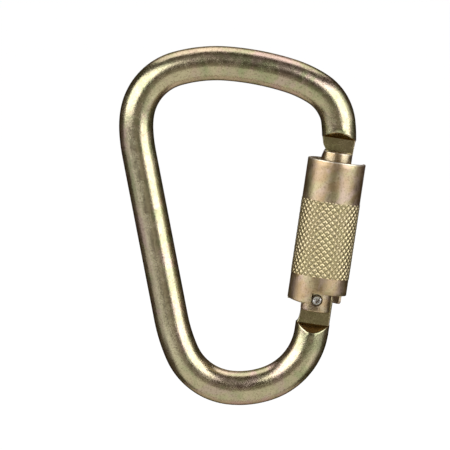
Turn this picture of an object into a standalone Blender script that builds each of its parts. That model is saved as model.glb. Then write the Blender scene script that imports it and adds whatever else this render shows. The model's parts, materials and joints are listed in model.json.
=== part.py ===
"""Steel locking carabiner with a twist-lock sleeve, as separate solids in metres, +Z up.

The bow lies in the XZ plane, with the spine on the -X side and the gate on the +X side. The origin is
the inner apex of the top bow, where the carabiner hangs on its anchor. Everything on the gate is made in
the gate's own frame: its origin on the hinge rivet, its +Z along the gate towards the nose, its +X
towards the outside of the bow. Sizes in that frame are heights above the rivet.
"""

import cmath
import math

import bmesh
import bpy
from mathutils import Matrix, Vector

MM = 0.001

# The bow: one bent rod, walked anticlockwise from the nose, over the top, down the spine and round the
# bottom to the hinge. Each bend is a radius of the centre line and the angle it turns through.
ROD_RADIUS = 6.0 * MM
GATE_LEAN = math.radians(8.4)
HINGE_X = 35.2 * MM
HINGE_Z = -76.58 * MM
BOW_START = 50.5 * MM
NOSE_BENDS = ((46.3 * MM, 15.1), (15.9 * MM, 50.8), (41.3 * MM, 15.0), (96.8 * MM, 13.1))
CROWN_BENDS = ((50.6 * MM, 20.3), (19.3 * MM, 65.2), (29.8 * MM, 12.1), (58.5 * MM, 7.7))
SPINE_LENGTH = 58.7 * MM
BASE_BENDS = ((58.6 * MM, 12.7), (20.8 * MM, 60.7), (30.7 * MM, 25.1))
BEND_STEP = 5.5
ROD_RESOLUTION = 9

# The milled ends of the rod: a nose plate that locks into the gate tip, and a tang inside the gate's fork.
PLATE_HALF = 2.3 * MM
TONGUE_HALF = 2.2 * MM
NOSE_FLAT_TOP = 56.9 * MM
NOSE_RUNOUT = 2.3 * MM
NOSE_RIGHT = 5.1 * MM
NOSE_LEFT = -4.75 * MM
NOSE_SLOPE = ((-4.75 * MM, 52.75 * MM), (-5.5 * MM, 54.15 * MM))
NOSE_OVERLAP = 1.0 * MM
TONGUE_FOOT = 41.2 * MM
TONGUE_LEFT = -4.3 * MM
TONGUE_RIGHT = 3.0 * MM
TONGUE_STEP = 49.5 * MM
TONGUE_STEP_TOP = 51.5 * MM
TONGUE_CORNER = 0.8 * MM
NOTCH_DROP = 0.35 * MM
TANG_FLAT_FOOT = -8.7 * MM
TANG_RUNOUT = 3.05 * MM
TANG_LEFT = -5.0 * MM
TANG_RIGHT = 5.8 * MM
TANG_ROOT = 5.5 * MM
TANG_TOP_LEFT = 4.0 * MM
TANG_CORNER = 1.0 * MM
CAM_RADIUS = 5.4 * MM
CAM_RISE = 1.2 * MM
CAM_START = 90
CAM_SPAN = 30
CAM_STEPS = 8
MILL_LENGTH = 30.0 * MM

# The gate: a slotted barrel on a rivet.
GATE_RADIUS = 5.6 * MM
GATE_TIP = 52.5 * MM
GATE_FOOT = -4.3 * MM
FORK_HALF = 2.5 * MM
FORK_TOP = 7.5 * MM
TIP_SLOT_FOOT = 40.4 * MM
TIP_SLOT_LEFT = -4.5 * MM
TIP_BEVEL_FOOT = 49.9 * MM
TIP_BEVEL_IN = 0.8 * MM
EDGE = 0.4 * MM
BORE_RADIUS = 2.6 * MM
BORE_TOP = 24.0 * MM
GROOVE_RADIUS = 4.9 * MM
LOWER_GROOVE = 8.5 * MM
UPPER_GROOVE = 38.7 * MM
GROOVE_SLACK = 0.1 * MM
RIVET_RADIUS = 1.4 * MM
RIVET_HEAD_RADIUS = 1.7 * MM
RIVET_HEAD_HEIGHT = 0.45 * MM
RIVET_CLEARANCE = 0.1 * MM
RECESS_RADIUS = 2.1 * MM
RECESS_FLOOR = 5.0 * MM
LATCH_PIN_RADIUS = 1.5 * MM
LATCH_PIN_X = -0.8 * MM
LATCH_PIN_Z = 45.6 * MM
LATCH_PIN_HALF = 5.2 * MM
NOTCH_CLEARANCE = 0.3 * MM
STOP_PIN_RADIUS = 1.0 * MM
STOP_PIN_Z = 6.1 * MM
STOP_PIN_SPAN = (3.2 * MM, 8.4 * MM)

# The spring plunger and springs.
PLUNGER_RADIUS = 2.4 * MM
PLUNGER_FOOT = 5.9 * MM
PLUNGER_SHOULDER = 13.5 * MM
PLUNGER_NOSE = 0.7 * MM
PLUNGER_STEM_RADIUS = 1.3 * MM
PLUNGER_STEM_TOP = 17.0 * MM
GATE_SPRING = {"mean": 1.95 * MM, "wire": 0.35 * MM, "foot": 13.9 * MM, "top": 23.6 * MM, "turns": 7}
SLEEVE_SPRING = {"mean": 7.3 * MM, "wire": 0.6 * MM, "foot": 9.8 * MM, "top": 35.6 * MM, "turns": 8}
COIL_STEPS = 14

# The rings that hold the sleeve on the gate.
RING_OUTER = 7.0 * MM
LOWER_RING_HEIGHT = 0.8 * MM
UPPER_RING_HEIGHT = 0.6 * MM
RING_GAP = 3.0 * MM
GUIDE_FOOT = 36.0 * MM
GUIDE_TOP = 38.6 * MM
GUIDE_INNER = 5.7 * MM
GUIDE_OUTER = 9.0 * MM

# The sleeve. Angles are measured round the gate's axis from its +X side, anticlockwise from the nose end.
SLEEVE_RADIUS = 10.3 * MM
SLEEVE_BORE = 9.15 * MM
SLEEVE_TOP = 49.05 * MM
SLEEVE_TAB_FOOT = -1.3 * MM
SLEEVE_RIM = 2.6 * MM
FLANGE_FOOT = 3.9 * MM
FLANGE_TOP = 8.3 * MM
FLANGE_BORE = 5.85 * MM
FRONT_TAB = (172, 258)
REAR_TAB = (29, 100)
GATEWAY = (5, 84)
GATEWAY_FOOT = 39.6 * MM
STOP_WINDOW = (76, 199)
STOP_WINDOW_Z = (4.9 * MM, 7.3 * MM)
STOP_WINDOW_RADIUS = 8.6 * MM

ROUND_STEPS = 40
SLEEVE_STEPS = 60
BORE_STEPS = 28
PIN_STEPS = 16
SECTOR_STEP = math.radians(7.5)
REACH = 12.0 * MM
SHARP_ANGLE = math.radians(35)
MERGE = 0.0001 * MM


# Scene helpers


def clear_scene():
    for obj in list(bpy.data.objects):
        bpy.data.objects.remove(obj, do_unlink=True)


def new_collection(name):
    collection = bpy.data.collections.new(name)
    bpy.context.scene.collection.children.link(collection)
    return collection


def metal(name, colour, roughness):
    material = bpy.data.materials.new(name)
    material.use_nodes = True
    shader = material.node_tree.nodes["Principled BSDF"]
    shader.inputs["Base Color"].default_value = (*colour, 1)
    shader.inputs["Metallic"].default_value = 1
    shader.inputs["Roughness"].default_value = roughness
    return material


def add_part(name, mesh, material, parent=None):
    part = bpy.data.objects.new(name, mesh)
    part.parent = parent
    mesh.materials.clear()
    mesh.materials.append(material)
    if hasattr(mesh, "polygons"):
        mesh.shade_smooth()
        mesh.set_sharp_from_angle(angle=SHARP_ANGLE)
    PARTS.objects.link(part)
    return part


def add_cutter(name, mesh, parent=None):
    cutter = bpy.data.objects.new(name, mesh)
    cutter.parent = parent
    cutter.hide_render = True
    cutter.display_type = "WIRE"
    CUTTERS.objects.link(cutter)
    return cutter


def combine(part, operation, *tools):
    """Cuts the tools from the part, or joins them to it."""
    for tool in tools:
        modifier = part.modifiers.new(f"{operation.lower()} {tool.name}", "BOOLEAN")
        modifier.operation = operation
        modifier.object = tool


# Mesh helpers


def mesh_of(build, name):
    """A mesh from a function that fills a bmesh."""
    shape = bmesh.new()
    build(shape)
    bmesh.ops.remove_doubles(shape, verts=shape.verts, dist=MERGE)
    bmesh.ops.recalc_face_normals(shape, faces=shape.faces)
    mesh = bpy.data.meshes.new(name)
    shape.to_mesh(mesh)
    shape.free()
    return mesh


def block(name, low, high):
    """A box between two corners."""
    low, high = Vector(low), Vector(high)
    place = Matrix.Translation((low + high) / 2) @ Matrix.Diagonal((*(high - low), 1))
    return mesh_of(lambda shape: bmesh.ops.create_cube(shape, size=1, matrix=place), name)


def cross_bar(name, radius, start, end, x=0.0, z=0.0, steps=BORE_STEPS):
    """A round bar along Y between two depths."""
    place = Matrix.Translation((x, (start + end) / 2, z)) @ Matrix.Rotation(math.pi / 2, 4, "X")

    def build(shape):
        bmesh.ops.create_cone(
            shape,
            cap_ends=True,
            segments=steps,
            radius1=radius,
            radius2=radius,
            depth=end - start,
            matrix=place,
        )

    return mesh_of(build, name)


def profile_mesh(name, profile, hollow=False):
    """The (radius, height) points of a turned shape, running down its outer side."""
    mesh = bpy.data.meshes.new(name)
    edges = [(i, i + 1) for i in range(len(profile) - 1)]
    if hollow:
        edges.append((len(profile) - 1, 0))
    mesh.from_pydata([(radius, 0, height) for radius, height in profile], edges, [])
    return mesh


def turn(part, steps):
    """Turns a profile about Z."""
    modifier = part.modifiers.new("turn", "SCREW")
    modifier.steps = steps
    modifier.render_steps = steps
    modifier.use_merge_vertices = True
    modifier.merge_threshold = 10 * MERGE
    return part


def curve_mesh(name, points, depth=0.0, resolution=0, half_thickness=0.0):
    """A round bar along the points or, with half_thickness, a flat outline in XY."""
    curve = bpy.data.curves.new(name, "CURVE")
    flat = half_thickness > 0
    curve.dimensions = "2D" if flat else "3D"
    curve.fill_mode = "BOTH" if flat else "FULL"
    curve.extrude = half_thickness
    curve.bevel_depth = depth
    curve.bevel_resolution = resolution
    curve.use_fill_caps = True
    spline = curve.splines.new("POLY")
    spline.points.add(len(points) - 1)
    for target, point in zip(spline.points, points):
        target.co = (*point, *[0.0] * (3 - len(point)), 1)
    spline.use_cyclic_u = flat
    holder = bpy.data.objects.new(name, curve)
    bpy.context.scene.collection.objects.link(holder)
    graph = bpy.context.evaluated_depsgraph_get()
    mesh = bpy.data.meshes.new_from_object(holder.evaluated_get(graph))
    bpy.data.objects.remove(holder)
    shape = bmesh.new()
    shape.from_mesh(mesh)
    bmesh.ops.remove_doubles(shape, verts=shape.verts, dist=MERGE)
    bmesh.ops.recalc_face_normals(shape, faces=shape.faces)
    shape.to_mesh(mesh)
    shape.free()
    return mesh


def side_plate(name, outline, half_thickness):
    """A plate parallel to the bow, from an outline of (x, z) points."""
    mesh = curve_mesh(name, outline, half_thickness=half_thickness)
    mesh.transform(Matrix.Rotation(math.pi / 2, 4, "X"))
    return mesh


def cross_prism(name, outline, half_width):
    """A bar along X, from an outline of (y, z) points."""
    mesh = curve_mesh(name, outline, half_thickness=half_width)
    mesh.transform(Matrix.Rotation(math.pi / 2, 4, "Z") @ Matrix.Rotation(math.pi / 2, 4, "X"))
    return mesh


def sector(name, angles, inner, outer, foot, top):
    """A block between two angles about Z, two radii and two heights."""
    start, end = (math.radians(angle) for angle in angles)
    steps = max(2, round((end - start) / SECTOR_STEP))
    turns = [start + (end - start) * i / steps for i in range(steps + 1)]
    outline = [(outer * math.cos(a), outer * math.sin(a)) for a in turns]
    outline += [(inner * math.cos(a), inner * math.sin(a)) for a in reversed(turns)]
    mesh = curve_mesh(name, outline, half_thickness=(top - foot) / 2)
    mesh.transform(Matrix.Translation((0, 0, (foot + top) / 2)))
    return mesh


def arc(centre, radius, start, end, steps=8):
    """Points on an arc between two angles in degrees."""
    turns = [math.radians(start + (end - start) * i / steps) for i in range(steps + 1)]
    return [(centre[0] + radius * math.cos(a), centre[1] + radius * math.sin(a)) for a in turns]


def coil(mean, wire, foot, top, turns):
    """A closed-end compression coil about Z, between two heights."""
    count = turns * COIL_STEPS
    rise = (top - foot - 2 * wire) / count
    points = []
    for i in range(count + 1):
        angle = math.tau * i / COIL_STEPS
        points.append((mean * math.cos(angle), mean * math.sin(angle), foot + wire + rise * i))
    return points


# The body


def bend(point, heading, radius, turn_deg):
    """One bend to the left in the bow's plane: its points, its end and the heading there."""
    turn_angle = math.radians(turn_deg)
    steps = max(2, math.ceil(turn_deg / BEND_STEP))
    centre = point + 1j * radius * heading
    points = [
        centre - 1j * radius * heading * cmath.exp(1j * turn_angle * i / steps)
        for i in range(1, steps + 1)
    ]
    return points, points[-1], heading * cmath.exp(1j * turn_angle)


def bow_centre_line():
    """The round rod's centre line in the bow's plane, as complex x + iz, from the nose to the tang.

    The rod is round from one step into its first bend, and the nose is all plate below that. The last
    bend's radius is the one that brings the line back onto the gate's axis.
    """
    axis = cmath.exp(1j * (math.pi / 2 - GATE_LEAN))
    hinge = complex(HINGE_X, HINGE_Z)
    point, heading = hinge + axis * BOW_START, axis
    line = []
    for radius, turn_deg in NOSE_BENDS + CROWN_BENDS:
        points, point, heading = bend(point, heading, radius, turn_deg)
        line += points
    point += heading * SPINE_LENGTH
    line.append(point)
    for radius, turn_deg in BASE_BENDS:
        points, point, heading = bend(point, heading, radius, turn_deg)
        line += points
    last_turn = 360 - sum(turn_deg for _, turn_deg in NOSE_BENDS + CROWN_BENDS + BASE_BENDS)
    unit_bend = 1j * heading * (1 - cmath.exp(1j * math.radians(last_turn)))
    radius = -((point - hinge) / axis).imag / (unit_bend / axis).imag
    points, point, heading = bend(point, heading, radius, last_turn)
    line += points
    line.append(hinge + axis * (TANG_FLAT_FOOT + EDGE))
    return line


def tongue_outline():
    """The nose plate below the rod: a hook open towards the spine, round the latch pin."""
    notch = LATCH_PIN_RADIUS + NOTCH_CLEARANCE
    top = NOSE_FLAT_TOP - NOSE_OVERLAP
    corner = TONGUE_CORNER
    outline = [(NOSE_RIGHT, top), (NOSE_SLOPE[1][0], top), NOSE_SLOPE[1], NOSE_SLOPE[0]]
    outline += [(NOSE_LEFT, GATE_TIP + EDGE / 2), (TONGUE_LEFT, GATE_TIP + EDGE / 2)]
    outline.append((TONGUE_LEFT, LATCH_PIN_Z + notch))
    outline += arc((LATCH_PIN_X, LATCH_PIN_Z), notch, 90, -90, 12)
    outline.append((TONGUE_LEFT, LATCH_PIN_Z - notch - NOTCH_DROP))
    outline += arc((TONGUE_LEFT + corner, TONGUE_FOOT + corner), corner, 180, 270, 4)
    outline += arc((TONGUE_RIGHT - corner, TONGUE_FOOT + corner), corner, 270, 360, 4)
    outline += [(TONGUE_RIGHT, TONGUE_STEP), (NOSE_RIGHT, TONGUE_STEP_TOP)]
    return outline


def tang_outline():
    """The hinge plate above the rod: a cam that pushes the plunger as the gate opens."""
    foot = TANG_FLAT_FOOT - TANG_CORNER
    outline = [(TANG_LEFT, foot), (TANG_ROOT, foot), (TANG_ROOT, TANG_FLAT_FOOT + 1.5 * EDGE)]
    outline += [(TANG_RIGHT, TANG_FLAT_FOOT + 2 * EDGE), (TANG_RIGHT, 0)]
    outline += arc((0, 0), CAM_RADIUS, 10, 85, 9)
    for i in range(CAM_STEPS + 1):
        share = i / CAM_STEPS
        radius = CAM_RADIUS + CAM_RISE * share
        angle = math.radians(CAM_START + CAM_SPAN * share)
        outline.append((radius * math.cos(angle), radius * math.sin(angle)))
    outline += arc((TANG_LEFT + TANG_CORNER, TANG_TOP_LEFT), TANG_CORNER, 110, 180, 4)
    return outline


def milled_side(side, flat, runout, rod_side):
    """An outline of (y, z) points that mills one side of the rod flat, with a concave run-out.

    rod_side is +1 where the rod goes on above the flat, and -1 where it goes on below it.
    """
    away = flat - rod_side * MILL_LENGTH
    centre = (side * (PLATE_HALF + runout), flat)
    turns = [math.pi / 2 * i / 6 for i in range(7)]
    curve = [
        (centre[0] - side * runout * math.cos(a), centre[1] + rod_side * runout * math.sin(a))
        for a in turns
    ]
    return [(side * PLATE_HALF, away), *curve, (side * REACH, curve[-1][1]), (side * REACH, away)]


def make_body(gate_frame, material):
    line = [(point.real, 0.0, point.imag) for point in bow_centre_line()]
    body = add_part("body", curve_mesh("body", line, ROD_RADIUS, ROD_RESOLUTION), material)
    tongue = side_plate("nose_tongue", tongue_outline(), PLATE_HALF)
    tang = side_plate("tang", tang_outline(), PLATE_HALF)
    combine(body, "UNION", add_cutter("nose_tongue", tongue, gate_frame))
    combine(body, "UNION", add_cutter("tang", tang, gate_frame))
    for word, side in (("front", -1), ("rear", 1)):
        nose = milled_side(side, NOSE_FLAT_TOP, NOSE_RUNOUT, 1)
        tail = milled_side(side, TANG_FLAT_FOOT, TANG_RUNOUT, -1)
        nose_tool = cross_prism(f"nose_mill_{word}", nose, REACH)
        tail_tool = cross_prism(f"tang_mill_{word}", tail, REACH)
        combine(body, "DIFFERENCE", add_cutter(f"nose_mill_{word}", nose_tool, gate_frame))
        combine(body, "DIFFERENCE", add_cutter(f"tang_mill_{word}", tail_tool, gate_frame))
        low = (-REACH, min(side * TONGUE_HALF, side * REACH), TONGUE_FOOT - MM)
        high = (REACH, max(side * TONGUE_HALF, side * REACH), TONGUE_STEP)
        thin = add_cutter(f"tongue_thin_{word}", block("tongue_thin", low, high), gate_frame)
        combine(body, "DIFFERENCE", thin)
    hole = cross_bar("tang_hole", RIVET_RADIUS + RIVET_CLEARANCE, -REACH, REACH)
    combine(body, "DIFFERENCE", add_cutter("tang_hole", hole, gate_frame))
    return body


# The gate and what rides on it


def make_gate(gate_frame, material):
    radius = GATE_RADIUS
    profile = [(0, GATE_TIP), (radius - EDGE, GATE_TIP), (radius, GATE_TIP - EDGE)]
    for foot, height in ((UPPER_GROOVE, UPPER_RING_HEIGHT), (LOWER_GROOVE, LOWER_RING_HEIGHT)):
        top = foot + height + 2 * GROOVE_SLACK
        profile += [(radius, top), (GROOVE_RADIUS, top), (GROOVE_RADIUS, foot), (radius, foot)]
    profile += [(radius, GATE_FOOT + EDGE), (radius - EDGE, GATE_FOOT), (0, GATE_FOOT)]
    gate = add_part("gate", profile_mesh("gate", profile), material, gate_frame)
    turn(gate, ROUND_STEPS)

    fork = block("fork", (-REACH, -FORK_HALF, GATE_FOOT - MM), (REACH, FORK_HALF, FORK_TOP))
    slot_low = (TIP_SLOT_LEFT, -FORK_HALF, TIP_SLOT_FOOT)
    slot = block("tip_slot", slot_low, (REACH, FORK_HALF, GATE_TIP + MM))
    bore = add_cutter("bore", profile_mesh("bore", spring_bore_profile()), gate_frame)
    combine(gate, "DIFFERENCE", add_cutter("fork", fork, gate_frame))
    combine(gate, "DIFFERENCE", add_cutter("tip_slot", slot, gate_frame))
    combine(gate, "DIFFERENCE", turn(bore, BORE_STEPS))

    latch_radius = LATCH_PIN_RADIUS + RIVET_CLEARANCE
    stop_radius = STOP_PIN_RADIUS + RIVET_CLEARANCE
    stop_foot = STOP_PIN_SPAN[0] - GROOVE_SLACK
    tools = [
        side_plate("tip_bevel", tip_bevel_outline(), REACH),
        cross_bar("latch_hole", latch_radius, -REACH, REACH, LATCH_PIN_X, LATCH_PIN_Z),
        cross_bar("rivet_hole", RIVET_RADIUS + RIVET_CLEARANCE, -REACH, REACH),
        cross_bar("front_recess", RECESS_RADIUS, -REACH, -RECESS_FLOOR),
        cross_bar("rear_recess", RECESS_RADIUS, RECESS_FLOOR, REACH),
        cross_bar("stop_hole", stop_radius, stop_foot, REACH, z=STOP_PIN_Z),
    ]
    for mesh in tools:
        combine(gate, "DIFFERENCE", add_cutter(mesh.name, mesh, gate_frame))
    return gate


def spring_bore_profile():
    return [(0, BORE_TOP), (BORE_RADIUS, BORE_TOP), (BORE_RADIUS, FORK_TOP - MM), (0, FORK_TOP - MM)]


def tip_bevel_outline():
    """The wedge that bevels the gate tip on the side of the spine."""
    top = GATE_TIP + MM
    slope = TIP_BEVEL_IN / (GATE_TIP - TIP_BEVEL_FOOT)
    top_x = -GATE_RADIUS + (top - TIP_BEVEL_FOOT) * slope
    return [(-REACH, top), (-REACH, TIP_BEVEL_FOOT), (-GATE_RADIUS, TIP_BEVEL_FOOT), (top_x, top)]


def make_hinge_rivet(gate_frame, material):
    """A shank with a formed head in each ear's recess."""
    head_foot = RECESS_FLOOR + GROOVE_SLACK
    head_top = head_foot + RIVET_HEAD_HEIGHT
    top = [(0, head_top), (RIVET_HEAD_RADIUS - GROOVE_SLACK, head_top)]
    top += [(RIVET_HEAD_RADIUS, head_top - GROOVE_SLACK), (RIVET_HEAD_RADIUS, head_foot)]
    top.append((RIVET_RADIUS, head_foot))
    profile = top + [(radius, -height) for radius, height in reversed(top)]
    rivet = add_part("hinge_rivet", profile_mesh("hinge_rivet", profile), material, gate_frame)
    rivet.rotation_euler.x = math.pi / 2
    return turn(rivet, BORE_STEPS)


def make_plunger(gate_frame, material):
    profile = [(0, PLUNGER_STEM_TOP), (PLUNGER_STEM_RADIUS, PLUNGER_STEM_TOP)]
    profile += [(PLUNGER_STEM_RADIUS, PLUNGER_SHOULDER), (PLUNGER_RADIUS, PLUNGER_SHOULDER)]
    profile += [(PLUNGER_RADIUS, PLUNGER_FOOT + PLUNGER_NOSE)]
    profile += [(PLUNGER_RADIUS - PLUNGER_NOSE, PLUNGER_FOOT), (0, PLUNGER_FOOT)]
    plunger = add_part("gate_plunger", profile_mesh("gate_plunger", profile), material, gate_frame)
    return turn(plunger, BORE_STEPS)


def make_spring(name, size, gate_frame, material):
    mesh = curve_mesh(name, coil(**size), depth=size["wire"], resolution=2)
    return add_part(name, mesh, material, gate_frame)


def make_ring(name, inner, outer, foot, height, gap, gate_frame, material):
    """A flat ring, split on the side of the spine where a gap is given."""
    top = foot + height
    profile = [(outer, top), (outer, foot), (inner, foot), (inner, top)]
    ring = add_part(name, profile_mesh(name, profile, hollow=True), material, gate_frame)
    turn(ring, ROUND_STEPS)
    if gap:
        split = block(f"{name}_split", (-REACH, -gap / 2, foot - MM), (0, gap / 2, top + MM))
        combine(ring, "DIFFERENCE", add_cutter(split.name, split, gate_frame))
    return ring


# The sleeve


def make_sleeve(gate_frame, material):
    """The knurled locking sleeve, with two tabs below and a gateway for the nose plate above."""
    radius = SLEEVE_RADIUS
    profile = [(radius - EDGE, SLEEVE_TOP), (radius, SLEEVE_TOP - EDGE)]
    profile += [(radius, SLEEVE_TAB_FOOT + EDGE), (radius - EDGE, SLEEVE_TAB_FOOT)]
    profile += [(SLEEVE_BORE, SLEEVE_TAB_FOOT), (SLEEVE_BORE, FLANGE_FOOT)]
    profile += [(FLANGE_BORE, FLANGE_FOOT), (FLANGE_BORE, FLANGE_TOP)]
    profile += [(SLEEVE_BORE, FLANGE_TOP), (SLEEVE_BORE, SLEEVE_TOP)]
    sleeve = add_part("sleeve", profile_mesh("sleeve", profile, hollow=True), material, gate_frame)
    turn(sleeve, SLEEVE_STEPS)

    foot = SLEEVE_TAB_FOOT - MM
    front = (FRONT_TAB[1] - 360, REAR_TAB[0])
    rear = (REAR_TAB[1], FRONT_TAB[0])
    wall = (SLEEVE_BORE - MM, REACH)
    tools = [
        sector("front_cutout", front, *wall, foot, SLEEVE_RIM),
        sector("rear_cutout", rear, *wall, foot, SLEEVE_RIM),
        sector("gateway", GATEWAY, *wall, GATEWAY_FOOT, SLEEVE_TOP + MM),
        sector("stop_window", STOP_WINDOW, FLANGE_BORE - MM, STOP_WINDOW_RADIUS, *STOP_WINDOW_Z),
    ]
    for mesh in tools:
        combine(sleeve, "DIFFERENCE", add_cutter(mesh.name, mesh, gate_frame))
    return sleeve


def make_carabiner():
    gold = metal("gold_zinc", (0.66, 0.57, 0.34), 0.32)
    tan = metal("tan_zinc", (0.68, 0.55, 0.38), 0.36)
    silver = metal("bare_steel", (0.72, 0.70, 0.68), 0.25)
    spring = metal("spring_steel", (0.45, 0.45, 0.46), 0.30)
    gate_frame = bpy.data.objects.new("gate_frame", None)
    PARTS.objects.link(gate_frame)
    gate_frame.location = (HINGE_X, 0, HINGE_Z)
    gate_frame.rotation_euler.y = GATE_LEAN
    bpy.context.view_layer.update()

    make_body(gate_frame, gold)
    make_gate(gate_frame, gold)
    make_hinge_rivet(gate_frame, silver)
    latch_span = (-LATCH_PIN_HALF, LATCH_PIN_HALF)
    latch = cross_bar("latch_pin", LATCH_PIN_RADIUS, *latch_span, LATCH_PIN_X, LATCH_PIN_Z)
    add_part("latch_pin", latch, silver, gate_frame)
    stop_span = STOP_PIN_SPAN
    stop = cross_bar("sleeve_stop_pin", STOP_PIN_RADIUS, *stop_span, z=STOP_PIN_Z, steps=PIN_STEPS)
    add_part("sleeve_stop_pin", stop, silver, gate_frame)
    make_plunger(gate_frame, silver)
    make_spring("gate_spring", GATE_SPRING, gate_frame, spring)
    make_spring("sleeve_spring", SLEEVE_SPRING, gate_frame, spring)
    ring_bore = GROOVE_RADIUS + GROOVE_SLACK
    lower = ("lower_retaining_ring", ring_bore, RING_OUTER, LOWER_GROOVE + GROOVE_SLACK)
    upper = ("upper_retaining_ring", ring_bore, RING_OUTER, UPPER_GROOVE + GROOVE_SLACK)
    make_ring(*lower, LOWER_RING_HEIGHT, RING_GAP, gate_frame, spring)
    make_ring(*upper, UPPER_RING_HEIGHT, RING_GAP, gate_frame, spring)
    guide = ("upper_guide_ring", GUIDE_INNER, GUIDE_OUTER, GUIDE_FOOT)
    make_ring(*guide, GUIDE_TOP - GUIDE_FOOT, 0, gate_frame, tan)
    make_sleeve(gate_frame, tan)


clear_scene()
PARTS = new_collection("locking_carabiner")
CUTTERS = new_collection("cutters")
make_carabiner()
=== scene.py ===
"""Looks for the locking carabiner: fine meshes, plated-steel materials, light and camera.

All lengths are in metres in the CAD frame: the bow lies in the XZ plane, +Y away from the camera. The
gate's own frame has its origin on the hinge rivet, +Z along the gate towards the nose and +X towards
the outside of the bow, and heights given below are heights above the rivet in that frame.
"""

import cmath
import json
import math

import bmesh
import bpy
from mathutils import Matrix, Vector


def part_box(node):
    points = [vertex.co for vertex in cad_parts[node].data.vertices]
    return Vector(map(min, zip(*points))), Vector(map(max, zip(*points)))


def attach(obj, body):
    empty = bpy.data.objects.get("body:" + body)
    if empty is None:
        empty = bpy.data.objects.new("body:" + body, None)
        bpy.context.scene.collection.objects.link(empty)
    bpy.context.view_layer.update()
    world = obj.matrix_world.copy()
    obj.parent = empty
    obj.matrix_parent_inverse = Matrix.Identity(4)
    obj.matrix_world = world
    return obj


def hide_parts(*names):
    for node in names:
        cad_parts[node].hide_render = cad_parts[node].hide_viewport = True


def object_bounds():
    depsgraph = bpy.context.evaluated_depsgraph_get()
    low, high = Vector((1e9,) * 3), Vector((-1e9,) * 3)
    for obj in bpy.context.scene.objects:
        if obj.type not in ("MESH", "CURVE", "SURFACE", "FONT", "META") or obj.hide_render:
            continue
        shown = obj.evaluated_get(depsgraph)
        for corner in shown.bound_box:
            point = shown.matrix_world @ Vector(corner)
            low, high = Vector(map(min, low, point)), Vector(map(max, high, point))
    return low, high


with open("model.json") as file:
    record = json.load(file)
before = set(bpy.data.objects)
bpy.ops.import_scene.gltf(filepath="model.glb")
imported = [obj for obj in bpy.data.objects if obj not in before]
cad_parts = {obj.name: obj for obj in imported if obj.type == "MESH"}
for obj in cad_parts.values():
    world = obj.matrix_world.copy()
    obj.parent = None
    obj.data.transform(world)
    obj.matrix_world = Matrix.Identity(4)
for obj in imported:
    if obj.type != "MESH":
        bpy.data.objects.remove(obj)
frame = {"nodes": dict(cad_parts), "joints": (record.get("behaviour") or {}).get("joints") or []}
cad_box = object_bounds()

MM = 0.001

# Joint frame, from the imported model
JOINTS = {joint["name"]: joint for joint in frame["joints"]}
HINGE = Vector(JOINTS["gate_swing"]["pos_m"])
GATE_AXIS = -Vector(JOINTS["sleeve_twist"]["axis"]).normalized()
GATE_FRAME = Matrix.Translation(HINGE) @ Matrix.Rotation(math.atan2(GATE_AXIS.x, GATE_AXIS.z), 4, "Y")


def gate_box(node):
    """Lowest and highest corners of a CAD node in the gate's frame."""
    to_gate = GATE_FRAME.inverted()
    points = [to_gate @ vertex.co for vertex in frame["nodes"][node].data.vertices]
    low = Vector(min(point[axis] for point in points) for axis in range(3))
    high = Vector(max(point[axis] for point in points) for axis in range(3))
    return low, high


# The bow's centre line, as in the CAD: bends of (radius, degrees), anticlockwise from the nose
ROD_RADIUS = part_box("body")[1].y
BOW_START = 50.5 * MM
NOSE_BENDS = ((46.3 * MM, 15.1), (15.9 * MM, 50.8), (41.3 * MM, 15.0), (96.8 * MM, 13.1))
CROWN_BENDS = ((50.6 * MM, 20.3), (19.3 * MM, 65.2), (29.8 * MM, 12.1), (58.5 * MM, 7.7))
SPINE_LENGTH = 58.7 * MM
BASE_BENDS = ((58.6 * MM, 12.7), (20.8 * MM, 60.7), (30.7 * MM, 25.1))
STATION_STEP = 1.1 * MM
ROUND_BLEND = 5 * MM

# The milled ends of the rod. OUTSIDE is a distance past everything on the gate and the plates.
OUTSIDE = 12 * MM
PLATE_HALF = 2.3 * MM
TONGUE_HALF = 2.2 * MM
NOSE_FLAT_TOP = 56.9 * MM
NOSE_RUNOUT_TOP = 59.2 * MM
NOSE_BLEND = 10 * MM
TANG_FLAT_FOOT = -8.7 * MM
TANG_RUNOUT_FOOT = -11.75 * MM
RUNOUT_HALF = 5.88 * MM
RUNOUT_STEPS = 18
RUNOUT_GAP = 0.05 * MM
RIM = 0.16 * MM
FLAT_POINTS = 20
SIDE_POINTS = 22

# The sleeve, from the CAD node
SLEEVE_LOW, SLEEVE_HIGH = gate_box("sleeve")
SLEEVE_RADIUS = SLEEVE_HIGH.x
SLEEVE_PLAIN = SLEEVE_RADIUS - 0.13 * MM
SLEEVE_BORE = SLEEVE_RADIUS - 1.15 * MM
SLEEVE_RIM = 2.6 * MM
FLANGE = (3.9 * MM, 8.25 * MM)
FLANGE_BORE = 5.85 * MM
KNURL_FOOT = 8.35 * MM
KNURL_TOP = 34.7 * MM
KNURLS = 28
KNURL_SAMPLES = 16
KNURL_PITCH = 2.3 * MM
KNURL_DEPTH = 0.3 * MM
KNURL_GROOVE = 0.56 * MM
SLEEVE_COLUMNS = KNURLS * KNURL_SAMPLES
FRONT_TAB = (172, 258)
REAR_TAB = (29, 100)
GATEWAY = (5, 84)
GATEWAY_FOOT = 39.6 * MM

# The gate, from the CAD node
GATE_LOW, GATE_HIGH = gate_box("gate")
GATE_RADIUS = GATE_HIGH.y
FORK_HALF = 2.5 * MM
FORK_TOP = 7.5 * MM
TIP_SLOT_FOOT = 40.4 * MM
TIP_SLOT_LEFT = -4.5 * MM
RIVET_HOLE = 1.5 * MM
RIVET_SEAT = 5.0 * MM
RECESS_RADIUS = 2.1 * MM
LATCH_HOLE = 1.6 * MM
LATCH_XZ = (-0.8 * MM, 45.6 * MM)

# Mesh helpers


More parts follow.
